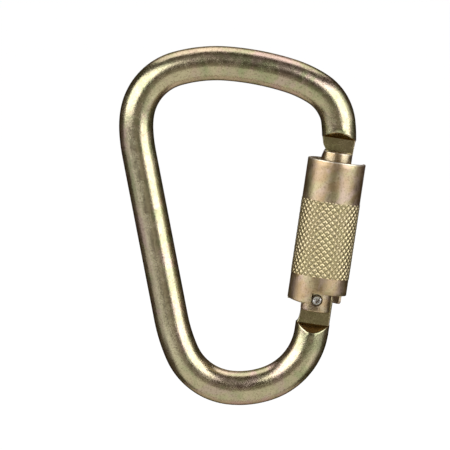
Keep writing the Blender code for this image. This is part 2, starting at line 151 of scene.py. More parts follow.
def smooth(mesh, angle=38):
    mesh.shade_smooth()
    mesh.set_sharp_from_angle(angle=math.radians(angle))


def dress(mesh, material):
    mesh.materials.clear()
    mesh.materials.append(material)


def object_from(name, data):
    """A new object in the scene that holds this mesh, light or camera."""
    item = bpy.data.objects.new(name, data)
    bpy.context.scene.collection.objects.link(item)
    return item


def mesh_of(name, shape):
    """The mesh of a bmesh, which is freed."""
    mesh = bpy.data.meshes.new(name)
    shape.to_mesh(mesh)
    shape.free()
    return mesh


def piece_from(name, mesh, material, body, slot, *replaced):
    """A finished piece: its material, the body that it rides on and the CAD node that it stands for."""
    piece = object_from(name, mesh)
    dress(mesh, material)
    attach(piece, body)
    if replaced:
        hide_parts(*replaced)
    return piece


def mesh_from(name, vertices, faces, place):
    """A closed mesh, with doubled points merged, its faces turned outwards and moved to its place."""
    shape = bmesh.new()
    points = [shape.verts.new(vertex) for vertex in vertices]
    for face in faces:
        corners = [points[i] for i in face]
        if len(set(corners)) > 2:
            shape.faces.new(corners)
    bmesh.ops.remove_doubles(shape, verts=shape.verts, dist=2e-6)
    bmesh.ops.dissolve_degenerate(shape, edges=shape.edges, dist=1e-6)
    bmesh.ops.recalc_face_normals(shape, faces=shape.faces)
    bmesh.ops.transform(shape, matrix=place, verts=shape.verts)
    return mesh_of(name, shape)


def loft(name, rings, place=Matrix()):
    """A closed skin over rings that all have the same number of points."""
    count = len(rings[0])
    faces = []
    for i in range(len(rings) - 1):
        for j in range(count):
            k = (j + 1) % count
            faces.append((i * count + j, i * count + k, (i + 1) * count + k, (i + 1) * count + j))
    faces.append(range(count))
    faces.append(range((len(rings) - 1) * count, len(rings) * count))
    return mesh_from(name, [point for ring in rings for point in ring], faces, place)


def turned_rings(profile, steps):
    """Rings about Z from (radius, height) points."""
    angles = [math.tau * i / steps for i in range(steps)]
    return [[(r * math.cos(a), r * math.sin(a), z) for a in angles] for r, z in profile]


def rounded(profile, radius, steps=4):
    """A (radius, height) profile with each inner corner turned into an arc of about this radius."""
    result = [profile[0]]
    for before, corner, after in zip(profile, profile[1:], profile[2:]):
        before, corner, after = Vector(before), Vector(corner), Vector(after)
        reach = min(radius, (before - corner).length * 0.45, (after - corner).length * 0.45)
        start = corner + (before - corner).normalized() * reach
        end = corner + (after - corner).normalized() * reach
        for i in range(steps + 1):
            t = i / steps
            result.append(tuple((1 - t) ** 2 * start + 2 * t * (1 - t) * corner + t * t * end))
    return result + [profile[-1]]


def cut(piece, cutters, bevel=0.0):
    """Cuts the cutters out of the piece and rounds its sharp edges if a bevel is given."""
    for cutter in cutters:
        modifier = piece.modifiers.new(cutter.name, "BOOLEAN")
        modifier.object = cutter
    if bevel:
        edge = piece.modifiers.new("edges", "BEVEL")
        edge.width = bevel
        edge.segments = 2
        edge.limit_method = "ANGLE"
        edge.angle_limit = math.radians(50)
        edge.harden_normals = False
    bpy.context.view_layer.update()
    graph = bpy.context.evaluated_depsgraph_get()
    result = bpy.data.meshes.new_from_object(piece.evaluated_get(graph))
    piece.modifiers.clear()
    piece.data = result
    for cutter in cutters:
        bpy.data.objects.remove(cutter)


def block(name, low, high):
    """A box cutter in the gate's frame."""
    low, high = Vector(low), Vector(high)
    shape = bmesh.new()
    place = GATE_FRAME @ Matrix.Translation((low + high) / 2) @ Matrix.Diagonal((*(high - low), 1))
    bmesh.ops.create_cube(shape, size=1, matrix=place)
    return object_from(name, mesh_of(name, shape))


def cross_hole(name, radius, start, end, x=0.0, z=0.0):
    """A round cutter along Y in the gate's frame."""
    rings = turned_rings(((radius, start), (radius, end)), 64)
    turn = Matrix.Translation((x, 0, z)) @ Matrix.Rotation(-math.pi / 2, 4, "X")
    return object_from(name, loft(name, rings, GATE_FRAME @ turn))


# The body


def bend(point, heading, radius, turn_deg):
    """Stations (point, heading) round one bend to the left."""
    turn = math.radians(turn_deg)
    steps = max(3, math.ceil(radius * turn / STATION_STEP), math.ceil(turn_deg / 3))
    centre = point + 1j * radius * heading
    turns = [cmath.exp(1j * turn * i / steps) for i in range(1, steps + 1)]
    return [(centre - 1j * radius * heading * t, heading * t) for t in turns]


def straight(point, heading, length):
    steps = math.ceil(length / STATION_STEP)
    return [(point + heading * length * i / steps, heading) for i in range(1, steps + 1)]


def smooth_step(t):
    """Eases a share from 0 to 1, level at both ends."""
    t = max(0.0, min(1.0, t))
    return t * t * (3 - 2 * t)


def bow_stations(axis, hinge):
    """Stations along the rod's centre line, from the nose to the tang, as in the CAD."""
    stations = [(hinge + axis * BOW_START, axis)]
    for radius, turn_deg in NOSE_BENDS + CROWN_BENDS:
        stations += bend(*stations[-1], radius, turn_deg)
    stations += straight(*stations[-1], SPINE_LENGTH)
    for radius, turn_deg in BASE_BENDS:
        stations += bend(*stations[-1], radius, turn_deg)
    last_turn = 360 - sum(turn_deg for _, turn_deg in NOSE_BENDS + CROWN_BENDS + BASE_BENDS)
    point, heading = stations[-1]
    unit_bend = 1j * heading * (1 - cmath.exp(1j * math.radians(last_turn)))
    radius = -((point - hinge) / axis).imag / (unit_bend / axis).imag
    return stations + bend(*stations[-1], radius, last_turn)


def milled_section(half, left, right):
    """Points (s, y) of the rod's section where it is milled to a half thickness and cut at two sides."""
    chord = math.sqrt(ROD_RADIUS**2 - half**2)
    flat_left, flat_right = max(left, -chord), min(right, chord)
    ease = min(RIM, (flat_right - flat_left) / 8)
    low, high = flat_left + ease, flat_right - ease
    front = [(low + (high - low) * i / (FLAT_POINTS - 1), -half) for i in range(FLAT_POINTS)]
    reach = half - ease
    side = []
    for i in range(SIDE_POINTS):
        y = reach * (2 * i / (SIDE_POINTS - 1) - 1)
        side.append((math.sqrt(ROD_RADIUS**2 - y**2), y))
    keep = 0.3 * ease
    right_side = [(min(s, right), y) for s, y in side]
    left_side = [(max(-s, left), -y) for s, y in side]
    corners = [(flat_right - keep, -half + keep), (flat_right - keep, half - keep)]
    corners += [(flat_left + keep, half - keep), (flat_left + keep, -half + keep)]
    rear = [(s, -y) for s, y in reversed(front)]
    return [*front, corners[0], *right_side, corners[1], *rear, corners[2], *left_side, corners[3]]


def round_section(even):
    """Points (s, y) of the full round section: spread evenly at 1, and as beside a run-out at 0."""
    wide = math.acos(RUNOUT_HALF / ROD_RADIUS)
    count = 2 * (FLAT_POINTS + SIDE_POINTS) + 4
    ease = RIM / ROD_RADIUS
    front = [-math.pi / 2 + (wide - ease) * (2 * i / (FLAT_POINTS - 1) - 1) for i in range(FLAT_POINTS)]
    reach = math.pi / 2 - wide - ease
    side = [reach * (2 * i / (SIDE_POINTS - 1) - 1) for i in range(SIDE_POINTS)]
    turns = [*front, -math.pi / 2 + wide, *side, math.pi / 2 - wide]
    turns += [turn + math.pi for turn in turns]
    first = -math.pi / 2 - math.pi * (FLAT_POINTS - 1) / count
    spread = [first + math.tau * i / count for i in range(count)]
    mixed = [turn + (target - turn) * even for turn, target in zip(turns, spread)]
    return [(ROD_RADIUS * math.cos(a), ROD_RADIUS * math.sin(a)) for a in mixed]


def between(points, z):
    """The value at z of a line through (z, value) points."""
    for (z0, v0), (z1, v1) in zip(points, points[1:]):
        if z <= z1:
            return v0 + (v1 - v0) * max(0.0, z - z0) / max(z1 - z0, 1e-9)
    return points[-1][1]


def tongue_stations():
    """(height, half, left, right) of the nose plate, from its foot to the top of its run-out."""
    pin_x, pin_z = LATCH_XZ
    notch, corner, foot = 1.8 * MM, 0.8 * MM, 41.2 * MM
    notch_top, tongue_top, step = 48.0 * MM, 49.6 * MM, 0.4 * MM
    left_edge, right_edge = -4.3 * MM, 3.0 * MM
    left = [(foot, left_edge), (52.6 * MM, left_edge), (52.65 * MM, -4.75 * MM), (52.8 * MM, -4.78 * MM)]
    left += [(54.15 * MM, -5.6 * MM), (55.35 * MM, -5.88 * MM), (NOSE_FLAT_TOP, -6.3 * MM)]
    right = [(foot, right_edge), (49.5 * MM, right_edge), (51.5 * MM, 5.05 * MM)]
    right += [(53.3 * MM, 5.1 * MM), (55.3 * MM, 5.2 * MM), (NOSE_FLAT_TOP, 5.35 * MM)]
    stations = []
    for i in range(6):
        swing = math.pi / 2 * i / 5
        inset = corner * (1 - math.sin(swing))
        height = foot + corner * (1 - math.cos(swing))
        stations.append((height, TONGUE_HALF, left_edge + inset, right_edge - inset))
    stations.append((pin_z - notch - 0.35 * MM, TONGUE_HALF, left_edge, right_edge))
    for i in range(19):
        swing = math.pi * i / 18
        height = pin_z - notch * math.cos(swing)
        stations.append((height, TONGUE_HALF, pin_x + notch * math.sin(swing), right_edge))
    stations.append((pin_z + notch, TONGUE_HALF, left_edge, right_edge))
    height = notch_top
    while height < NOSE_FLAT_TOP:
        half = TONGUE_HALF if height < tongue_top else PLATE_HALF
        stations.append((height, half, between(left, height), between(right, height)))
        height += step
    return stations + runout_stations(NOSE_FLAT_TOP, NOSE_RUNOUT_TOP)


def runout_stations(start, end):
    """The slope from a milled flat out to the rod's surface, which it meets in a shallow arc."""
    stations = []
    wide = math.sqrt(ROD_RADIUS**2 - PLATE_HALF**2)
    narrow = math.sqrt(ROD_RADIUS**2 - RUNOUT_HALF**2)
    for i in range(RUNOUT_STEPS + 1):
        across = wide + (narrow - wide) * i / RUNOUT_STEPS
        rise = 1 - (across / wide) ** 2
        half = math.sqrt(ROD_RADIUS**2 - across**2)
        stations.append((start + (end - start) * rise, half, -OUTSIDE, OUTSIDE))
    return stations


def tang_side(height):
    """The right side of the hinge plate: straight, then the round cam, cut back to a shoulder."""
    edge, round_foot, flatness = 5.8 * MM, -1 * MM, 0.9
    shoulder_foot, shoulder_top, inner = 4.6 * MM, 5.3 * MM, -1.2 * MM
    slope, slope_end = 3.2, 5.45 * MM
    side = edge
    if height > round_foot:
        side = min(side, math.sqrt(max(edge**2 - (height - round_foot) ** 2 * flatness, 0)))
    if height > shoulder_foot:
        side = min(side, (slope_end - height) * slope if height < shoulder_top else inner)
    return side


def tang_stations():
    """(height, half, left, right) of the hinge plate, from its run-out up to the top of the cam."""
    cam, rise, span = 5.4 * MM, 1.2 * MM, math.radians(30)
    left_edge, lean_foot, lean = -4.92 * MM, 3.4 * MM, 1.6 * MM
    least_width = 0.5 * MM
    stations = list(reversed(runout_stations(TANG_FLAT_FOOT, TANG_RUNOUT_FOOT)))
    left = [(TANG_FLAT_FOOT, -5.6 * MM), (-8.2 * MM, -5.32 * MM), (-6.9 * MM, -5.02 * MM)]
    left += [(-5.4 * MM, left_edge), (lean_foot, left_edge)]
    top = (cam + rise) * math.cos(span)
    steps = 34
    for i in range(1, steps + 1):
        height = TANG_FLAT_FOOT + (top - TANG_FLAT_FOOT) * math.sin(math.pi / 2 * i / steps)
        side = between(left, height)
        if height > lean_foot:
            side = left_edge + lean * ((height - lean_foot) / (top - lean_foot)) ** 2
        stations.append((height, PLATE_HALF, side, max(tang_side(height), side + least_width)))
    return stations


class Bow:
    """The rod's centre line, read by the distance along it. Places and headings are complex numbers."""

    def __init__(self, axis, hinge):
        self.axis, self.hinge = axis, hinge
        self.stations = bow_stations(axis, hinge)
        self.travelled = [0.0]
        for (before, _), (after, _) in zip(self.stations, self.stations[1:]):
            self.travelled.append(self.travelled[-1] + abs(after - before))
        self.foot = ((self.stations[-1][0] - hinge) / axis).real
        self.nose_end = self.nose_distance(NOSE_RUNOUT_TOP) + RUNOUT_GAP
        self.tang_end = self.tang_distance(TANG_RUNOUT_FOOT) - RUNOUT_GAP

    def nose_distance(self, height):
        """The distance along the first bend that lies at a height in the gate's frame."""
        radius = NOSE_BENDS[0][0]
        return radius * math.asin((height - BOW_START) / radius)

    def tang_distance(self, height):
        """The distance at the tang's end that lies at a height in the gate's frame."""
        return self.travelled[-1] - (self.foot - height)

    def at(self, distance):
        """The centre line's point and heading at a distance along it."""
        for i in range(1, len(self.travelled)):
            if distance <= self.travelled[i]:
                break
        t = (distance - self.travelled[i - 1]) / (self.travelled[i] - self.travelled[i - 1])
        (p0, h0), (p1, h1) = self.stations[i - 1], self.stations[i]
        heading = h0 + (h1 - h0) * t
        return p0 + (p1 - p0) * t, heading / abs(heading)

    def tilt(self, heading, distance):
        """The sections stay square to the gate beside the milled flat, then turn into the bend."""
        turned = smooth_step((distance - self.nose_end) / NOSE_BLEND)
        return self.axis * cmath.exp(1j * cmath.phase(heading / self.axis) * turned)


def body_ring(point, heading, section, path_heading=None):
    """One ring of the skin. A section that isn't square to its path is stretched to keep the rod round."""
    out = -1j * heading
    if path_heading is not None:
        out /= abs(math.cos(cmath.phase(path_heading / heading)))
    places = [point + s * out for s, _ in section]
    return [(place.real, y, place.imag) for place, (_, y) in zip(places, section)]


def nose_rings(bow):
    """The nose plate and its run-out."""
    rings = []
    for height, half, left, right in tongue_stations():
        if height <= BOW_START:
            section = milled_section(half, left, right)
            rings.append(body_ring(bow.hinge + bow.axis * height, bow.axis, section))
            continue
        point, heading = bow.at(bow.nose_distance(height))
        aside = ((point - bow.hinge) / bow.axis).imag
        section = milled_section(half, left + aside, right + aside)
        rings.append(body_ring(point, bow.axis, section, heading))
    return rings


def round_rings(bow):
    """The round rod between the two run-outs."""
    steps = math.ceil((bow.tang_end - bow.nose_end) / STATION_STEP)
    rings = []
    for i in range(steps + 1):
        distance = bow.nose_end + (bow.tang_end - bow.nose_end) * i / steps
        point, heading = bow.at(distance)
        tilt = bow.tilt(heading, distance) if distance < bow.nose_end + NOSE_BLEND else heading
        near = min(distance - bow.nose_end, bow.tang_end - distance)
        rings.append(body_ring(point, tilt, round_section(smooth_step(near / ROUND_BLEND)), heading))
    return rings


def tang_rings(bow):
    """The run-out at the hinge and the hinge plate with its cam."""
    rings = []
    for height, half, left, right in tang_stations():
        section = milled_section(half, left, right)
        if height >= bow.foot:
            rings.append(body_ring(bow.hinge + bow.axis * height, bow.axis, section))
        else:
            rings.append(body_ring(*bow.at(bow.tang_distance(height)), section))
    return rings


def make_body(material):
    """One skin over the whole rod: nose plate, bow, spine and tang."""
    bow = Bow(complex(GATE_AXIS.x, GATE_AXIS.z), complex(HINGE.x, HINGE.z))
    mesh = loft("carabiner_body", nose_rings(bow) + round_rings(bow) + tang_rings(bow))
    body = piece_from("carabiner_body", mesh, material, "frame", "body_zinc", "body")
    cut(body, [cross_hole("tang_hole", RIVET_HOLE, -OUTSIDE, OUTSIDE)])
    smooth(body.data)


# The gate


def gate_profile():
    """The turned outline of the gate's barrel, from the tip's chamfer down to the rounded foot."""
    top, foot, radius = GATE_HIGH.z, GATE_LOW.z, GATE_RADIUS
    tip_height, tip_width, tip_round, foot_edge = 0.65 * MM, 0.95 * MM, 0.15 * MM, 0.5 * MM
    low, high = foot + foot_edge, top - tip_height
    steps = 24
    barrel = [(radius, high + (low - high) * i / steps) for i in range(steps + 1)]
    tip = [(radius - 2 * tip_width, top), (radius - tip_width, top), (radius, high), barrel[1]]
    profile = rounded(tip, tip_round)[1:-1] + barrel[1:]
    for i in range(1, 7):
        swing = math.pi / 2 * i / 6
        inset = foot_edge * (1 - math.cos(swing))
        profile.append((radius - inset, low - foot_edge * math.sin(swing)))
    return profile


def tip_bevel():
    """A cutter that slopes the tip's left side."""
    foot, slope = 49.9 * MM, 0.8 / 2.6
    top = foot + OUTSIDE
    points = [(-OUTSIDE, top), (-OUTSIDE, foot), (-GATE_RADIUS, foot)]
    points.append((-GATE_RADIUS + OUTSIDE * slope, top))
    rings = [[(x, y, z) for x, z in points] for y in (-OUTSIDE, OUTSIDE)]
    return object_from("tip_bevel", loft("tip_bevel", rings, GATE_FRAME))


def make_gate(material):
    """The barrel with its fork over the tang, the slot for the tongue, pin holes and rivet recesses."""
    foot, top = GATE_LOW.z - MM, GATE_HIGH.z + MM
    recess_floor = RIVET_SEAT - 0.6 * MM
    edge = 0.12 * MM
    mesh = loft("gate_barrel", turned_rings(gate_profile(), 144), GATE_FRAME)
    gate = piece_from("gate_barrel", mesh, material, "gate", "gate_zinc", "gate")
    cutters = [
        block("fork", (-OUTSIDE, -FORK_HALF, foot), (OUTSIDE, FORK_HALF, FORK_TOP)),
        block("tip_slot", (TIP_SLOT_LEFT, -FORK_HALF, TIP_SLOT_FOOT), (OUTSIDE, FORK_HALF, top)),
        tip_bevel(),
        cross_hole("rivet_hole", RIVET_HOLE, -OUTSIDE, OUTSIDE),
        cross_hole("latch_hole", LATCH_HOLE, -OUTSIDE, OUTSIDE, *LATCH_XZ),
        cross_hole("front_recess", RECESS_RADIUS, -OUTSIDE, -recess_floor),
        cross_hole("rear_recess", RECESS_RADIUS, recess_floor, OUTSIDE),
    ]
    cut(gate, cutters, edge)
    smooth(gate.data)


def make_rivet(material):
    """The rivet: a domed head with a drilled dimple at each end."""
    head, shank = 1.7 * MM, 1.4 * MM
    foot, top = RIVET_SEAT + 0.1 * MM, GATE_RADIUS + 0.02 * MM
    end = [(0.02 * MM, top - 0.5 * MM), (0.5 * MM, top - 0.55 * MM), (0.9 * MM, top - 0.12 * MM)]
    end += [(1.28 * MM, top), (head - 0.08 * MM, top - 0.22 * MM), (head, foot + 0.1 * MM)]
    end += [(head - 0.08 * MM, foot), (shank, foot)]
    corner = 0.22 * MM
    half = rounded(end, corner)
    profile = half + [(radius, -height) for radius, height in reversed(half)]
    mesh = loft("rivet", turned_rings(profile, 64), GATE_FRAME @ Matrix.Rotation(math.pi / 2, 4, "X"))
    rivet = piece_from("hinge_rivet_pin", mesh, material, "gate", "bare_steel", "hinge_rivet")
    smooth(rivet.data, 50)


# The sleeve


def knurl_height(turn, z):
    """How far the knurled surface lies below the sleeve's radius."""
    depth = 0.0
    for way in (1, -1):
        phase = KNURLS * turn + way * z / KNURL_PITCH
        off = abs(phase - round(phase)) * KNURL_PITCH * math.sqrt(0.5)
        if off < KNURL_GROOVE:
            depth = max(depth, 0.5 + 0.5 * math.cos(math.pi * off / KNURL_GROOVE))
    return KNURL_DEPTH * depth


def tab_foot(degrees):
    """The height of a tab's lower edge at an angle round the sleeve."""
    level_from, front_rise = 236, 0.95 * MM
    foot = SLEEVE_LOW.z
    if FRONT_TAB[0] <= degrees <= FRONT_TAB[1]:
        foot += front_rise * max(0.0, (level_from - degrees) / (level_from - FRONT_TAB[0]))
        edges, corners = FRONT_TAB, (1.6 * MM, 0.5 * MM)
    else:
        edges, corners = REAR_TAB, (1.2 * MM, 1.2 * MM)
    for edge, radius in zip(edges, corners):
        away = abs(math.radians(degrees - edge)) * SLEEVE_RADIUS
        if away < radius:
            foot += radius - math.sqrt(radius**2 - (radius - away) ** 2)
    return foot


def sleeve_rows():
    """(height, outer radius, inner radius, share) of the sleeve's rows of points, from the tabs up.

    A tab's row has no height of its own: the share is how far it lies from the tab's foot to its top.
    A knurled row has no inner radius, because the bore behind it needs no points there."""
    radius, bore, top = SLEEVE_PLAIN, SLEEVE_BORE, SLEEVE_HIGH.z
    edge, step = 0.35 * MM, 0.15 * MM
    rows = [(None, radius, bore, share) for share in (0.0, 0.04, 0.12, 0.3, 0.5, 0.7, 0.9)]
    rows += [(z, radius, bore, 1) for z in (SLEEVE_RIM, SLEEVE_RIM + step)]
    rows += [(FLANGE[0], radius, bore, 1), (FLANGE[0], radius, FLANGE_BORE, 1)]
    rows += [(z, radius, FLANGE_BORE, 1) for z in (6 * MM, FLANGE[1] - step, FLANGE[1])]
    rows.append((FLANGE[1], radius, bore, 1))
    fine = round((KNURL_TOP - KNURL_FOOT) / (KNURL_PITCH / KNURL_SAMPLES))
    knurl_rows = [KNURL_FOOT + (KNURL_TOP - KNURL_FOOT) * i / fine for i in range(fine + 1)]
    rows += [(z, SLEEVE_RADIUS, None, 1) for z in knurl_rows]
    plain = [KNURL_TOP + 0.1 * MM, KNURL_TOP + 0.25 * MM, 37 * MM, GATEWAY_FOOT - step, GATEWAY_FOOT]
    plain += [41 * MM, 43 * MM, 45 * MM, 47 * MM, top - edge]
    rows += [(z, radius, bore, 1) for z in plain]
    rows.append((top - 0.3 * edge, radius - 0.1 * MM, bore, 1))
    rows.append((top, radius - edge, bore + 0.1 * MM, 1))
    return rows


def sleeve_cells(rim_row, gateway_row, last_row):
    """Which cells between the rows and the columns are solid."""

    def solid(row, column):
        degrees = (column + 0.5) * 360 / SLEEVE_COLUMNS
        if row < rim_row:
            return any(low < degrees < high for low, high in (FRONT_TAB, REAR_TAB))
        return row < gateway_row or not GATEWAY[0] < degrees < GATEWAY[1]

    return [[solid(i, j) for j in range(SLEEVE_COLUMNS)] for i in range(last_row)]


def sleeve_points(rows, cells):
    """The points of the wall, and where the outer and the inner ones are, by row and column."""
    ease = 0.12 * MM

    def beside_opening(i, j):
        around = [(i - 1, j - 1), (i - 1, j), (i, j - 1), (i, j)]
        inside = [cells[a][b % SLEEVE_COLUMNS] for a, b in around if 0 <= a < len(cells)]
        return any(inside) and not all(inside)

    points, outer, inner = [], {}, {}
    for i, (height, out_radius, in_radius, share) in enumerate(rows):
        for j in range(SLEEVE_COLUMNS):
            turn = j / SLEEVE_COLUMNS
            z = height
            if height is None:
                z = tab_foot(turn * 360)
                z += (SLEEVE_RIM - z) * share
            out = out_radius - (knurl_height(turn, z) if in_radius is None else 0)
            eased = ease if beside_opening(i, j) or i == 0 else 0
            cos, sin = math.cos(math.tau * turn), math.sin(math.tau * turn)
            outer[i, j] = len(points)
            points.append(((out - eased) * cos, (out - eased) * sin, z))
            if in_radius is not None:
                into = in_radius + eased * 0.6
                inner[i, j] = len(points)
                points.append((into * cos, into * sin, z))
    return points, outer, inner


def make_sleeve(material):
    """The sleeve's wall as cells between angles and heights, open where the real one is cut away."""
    rows = sleeve_rows()
    rim_row = next(i for i, row in enumerate(rows) if row[0] == SLEEVE_RIM)
    gateway_row = next(i for i, row in enumerate(rows) if row[0] == GATEWAY_FOOT)
    last_row = len(rows) - 1
    cells = sleeve_cells(rim_row, gateway_row, last_row)
    points, outer, inner = sleeve_points(rows, cells)
    columns = [(j, (j + 1) % SLEEVE_COLUMNS) for j in range(SLEEVE_COLUMNS)]
    lined = [i for i, row in enumerate(rows) if row[2] is not None]
    faces = []
    for i in range(last_row):
        for j, k in columns:
            if cells[i][j]:
                faces.append((outer[i, j], outer[i, k], outer[i + 1, k], outer[i + 1, j]))
    for low, high in zip(lined, lined[1:]):
        for j, k in columns:
            if cells[low][j]:
                faces.append((inner[low, k], inner[low, j], inner[high, j], inner[high, k]))
            if high == low + 1 and cells[low][j] != cells[low][j - 1]:
                faces.append((outer[low, j], outer[high, j], inner[high, j], inner[low, j]))
    for i in (0, rim_row, gateway_row, last_row):
        for j, k in columns:
            below = i > 0 and cells[i - 1][j]
            above = i < last_row and cells[i][j]
            if below != above:
                faces.append((outer[i, j], outer[i, k], inner[i, k], inner[i, j]))
    mesh = mesh_from("sleeve_barrel", points, faces, GATE_FRAME)
    sleeve = piece_from("knurled_sleeve", mesh, material, "sleeve", "sleeve_zinc", "sleeve")
    smooth(sleeve.data, 42)


# Materials


class Nodes:
    """Short calls for building one material's node tree."""

    def __init__(self, name):
        self.material = bpy.data.materials.new(name)
        self.material.use_nodes = True
        self.tree = self.material.node_tree
        self.shader = self.tree.nodes["Principled BSDF"]
        coordinates = self.tree.nodes.new("ShaderNodeTexCoord")
        self.place = coordinates.outputs["Object"]

    def add(self, kind, settings=None, **inputs):
        node = self.tree.nodes.new(kind)
        for key, value in (settings or {}).items():
            setattr(node, key, value)
        for key, value in inputs.items():
            self.feed(node.inputs[key.replace("_", " ")], value)
        return node

    def feed(self, socket, value):
        if isinstance(value, bpy.types.NodeSocket):
            self.tree.links.new(value, socket)
        else:
            socket.default_value = value

    def noise(self, scale, detail, roughness, distortion=0.0):
        node = self.add("ShaderNodeTexNoise", Vector=self.place, Scale=scale, Detail=detail)
        self.feed(node.inputs["Roughness"], roughness)
        self.feed(node.inputs["Distortion"], distortion)
        return node.outputs["Fac"]

    def vector(self, operation, first, second=(0.0, 0.0, 0.0)):
        """The node of a vector sum, which has a Vector and a Value output."""
        node = self.add("ShaderNodeVectorMath", {"operation": operation})
        self.feed(node.inputs[0], first)
        self.feed(node.inputs[1], second)
        return node

    def span(self, value, low, high, to_low=0.0, to_high=1.0):
        """Eases from to_low to to_high as the value goes from low to high."""
        node = self.add("ShaderNodeMapRange", {"interpolation_type": "SMOOTHSTEP"}, Value=value)
        for key, number in zip(("From Min", "From Max", "To Min", "To Max"), (low, high, to_low, to_high)):
            self.feed(node.inputs[key], number)
        return node.outputs["Result"]

    def mix(self, share, first, second):
        node = self.add("ShaderNodeMix", {"data_type": "RGBA"})
        self.feed(node.inputs["Factor"], share)
        for socket, value in zip((node.inputs[6], node.inputs[7]), (first, second)):
            self.feed(socket, value if isinstance(value, bpy.types.NodeSocket) else (*value, 1))
        return node.outputs[2]

    def maths(self, operation, first, second=0.5):
        node = self.add("ShaderNodeMath", {"operation": operation})
        self.feed(node.inputs[0], first)
        self.feed(node.inputs[1], second)
        return node.outputs[0]

    def bump(self, height, strength, distance, normal=None):
        node = self.add("ShaderNodeBump", Height=height, Strength=strength, Distance=distance)
        if normal:
            self.feed(node.inputs["Normal"], normal)
        return node.outputs["Normal"]


# Colours of the zinc film and its specks
GOLD = (0.64, 0.56, 0.385)
OLIVE = (0.44, 0.455, 0.27)
ROSE = (0.63, 0.48, 0.385)
TAN = (0.49, 0.36, 0.21)
STRAW = (0.52, 0.46, 0.28)
PINK = (0.62, 0.48, 0.415)
BROWN = (0.17, 0.11, 0.06)

# Colours of the marks on it: knurl and milled flats, and painted highlights and painted shade
CREAM = (0.68, 0.60, 0.365)
# A painted highlight: the bright line on the top edges of the gate's tip and the sleeve's rim
PALE = (0.86, 0.82, 0.72)
# Painted shade: the dark brown of the slopes where the milled flats run out
UMBER = (0.30, 0.19, 0.065)
MOSS = (0.42, 0.37, 0.19)
# A painted highlight: the paler band along the spine, beside its bright reflection
SPINE_HIGHLIGHT = (0.90, 0.82, 0.60)
# Painted shade: darker bottoms of the knurl's grooves
GROOVE_SHADE = (0.20, 0.155, 0.07)

# What the film reflects at grazing angles
EDGE = (0.12, 0.09, 0.07, 1.0)


def along(nodes, direction):
    """How far a point lies along a direction from the frame's origin."""
    return nodes.vector("DOT_PRODUCT", nodes.place, direction).outputs["Value"]


def band(nodes, foot, top):
    """1 between two heights above the rivet along the gate, and 0 outside them."""
    ease = 0.15 * MM
    height = nodes.maths("SUBTRACT", along(nodes, GATE_AXIS), GATE_AXIS.dot(HINGE))
    above = nodes.span(height, foot - ease, foot + ease)
    below = nodes.span(height, top - ease, top + ease, 1, 0)
    return nodes.maths("MULTIPLY", above, below)


def gate_distance(nodes):
    """Distance from the gate's axis."""
    arm = nodes.vector("SUBTRACT", nodes.place, HINGE).outputs["Vector"]
    cross = nodes.vector("CROSS_PRODUCT", arm, GATE_AXIS).outputs["Vector"]
    return nodes.vector("LENGTH", cross).outputs["Value"]


def facing(nodes, direction):
    """How far the surface faces a direction, from -1 to 1."""
    normal = nodes.add("ShaderNodeNewGeometry").outputs["Normal"]
    return nodes.vector("DOT_PRODUCT", normal, direction).outputs["Value"]


def beside_gate(nodes):
    """1 near the gate's axis, where the nose and the hinge plate are, and 0 on the rest of the bow."""
    return nodes.span(gate_distance(nodes), 9 * MM, 11 * MM, 1, 0)


def product(nodes, first, *others):
    for other in others:
        first = nodes.maths("MULTIPLY", first, other)
    return first


def runouts(nodes):
    """1 on the slopes where the rod's milled flats run out, and 0 elsewhere: where shade is painted."""
    steep = nodes.span(nodes.maths("ABSOLUTE", facing(nodes, GATE_AXIS)), 0.45, 0.62)
    nose = band(nodes, NOSE_FLAT_TOP - 0.1 * MM, NOSE_RUNOUT_TOP + 0.2 * MM)
    tang = band(nodes, TANG_RUNOUT_FOOT - 0.2 * MM, TANG_FLAT_FOOT + 0.1 * MM)
    return product(nodes, steep, nodes.maths("ADD", nose, tang), beside_gate(nodes))


def flats(nodes):
    """1 on the milled faces of the nose and the hinge plate, and 0 elsewhere."""
    square = nodes.span(nodes.maths("ABSOLUTE", facing(nodes, (0.0, 1.0, 0.0))), 0.9, 0.97)
    plates = band(nodes, TANG_FLAT_FOOT, NOSE_FLAT_TOP + 0.2 * MM)
    return product(nodes, square, plates, beside_gate(nodes))


def spine_highlight_band(nodes):
    """1 along a band of the spine outside its middle, and 0 elsewhere: where a highlight is painted."""
    lean = facing(nodes, (1.0, 0.0, 0.0))
    outer = nodes.span(lean, -0.62, -0.42)
    inner = nodes.span(lean, -0.05, 0.14, 1, 0)
    height = along(nodes, (0.0, 0.0, 1.0))
    below = nodes.span(height, -26 * MM, -12 * MM, 1, 0)
    above = nodes.span(height, -106 * MM, -92 * MM)
    far = nodes.span(gate_distance(nodes), 20 * MM, 26 * MM)
    return product(nodes, outer, inner, below, above, far)


def grooves(nodes):
    """1 at the bottom of the knurl's grooves, and 0 on the points between them: where shade is painted."""
    floor = SLEEVE_RADIUS - KNURL_DEPTH
    deep = nodes.span(gate_distance(nodes), floor, floor + 0.8 * KNURL_DEPTH, 1, 0)
    return nodes.maths("MULTIPLY", deep, band(nodes, KNURL_FOOT, KNURL_TOP))


